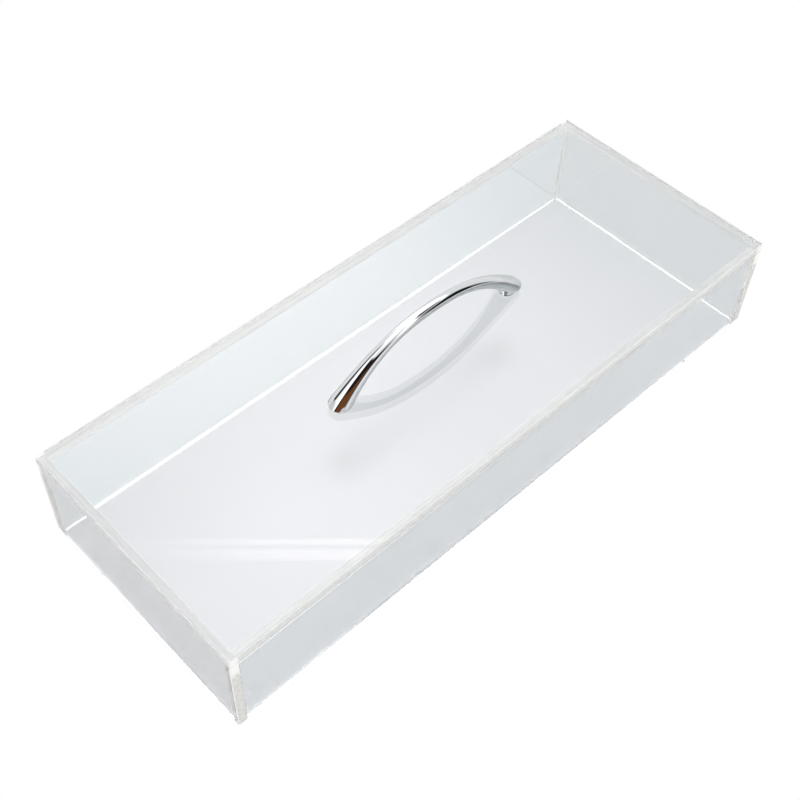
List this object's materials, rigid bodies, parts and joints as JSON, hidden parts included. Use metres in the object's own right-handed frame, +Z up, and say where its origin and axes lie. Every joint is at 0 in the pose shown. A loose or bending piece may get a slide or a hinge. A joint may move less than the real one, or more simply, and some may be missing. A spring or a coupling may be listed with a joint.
{
  "type": "display box cover",
  "caption": "Clear acrylic display box cover, cemented from flat sheets and open underneath, with a chromed bow handle screwed to the middle of its top panel.",
  "frame": {"origin": "middle of the footprint, on the surface that the walls stand on", "axes": "+X along the length and along the bow handle, +Y from the front wall to the rear wall, +Z up through the top panel"},
  "size_m": [0.31, 0.12, 0.0734],
  "materials": {
    "clear_acrylic": "polished clear cast sheet",
    "bright_chrome": "mirror bright chrome plating",
    "bright_zinc": "bright zinc plating"
  },
  "bodies": {
    "root": {"top_panel": "clear_acrylic", "front_wall": "clear_acrylic", "rear_wall": "clear_acrylic", "left_end_wall": "clear_acrylic", "right_end_wall": "clear_acrylic", "bow_handle": "bright_chrome", "left_handle_screw": "bright_zinc", "right_handle_screw": "bright_zinc"}
  },
  "joints": []
}
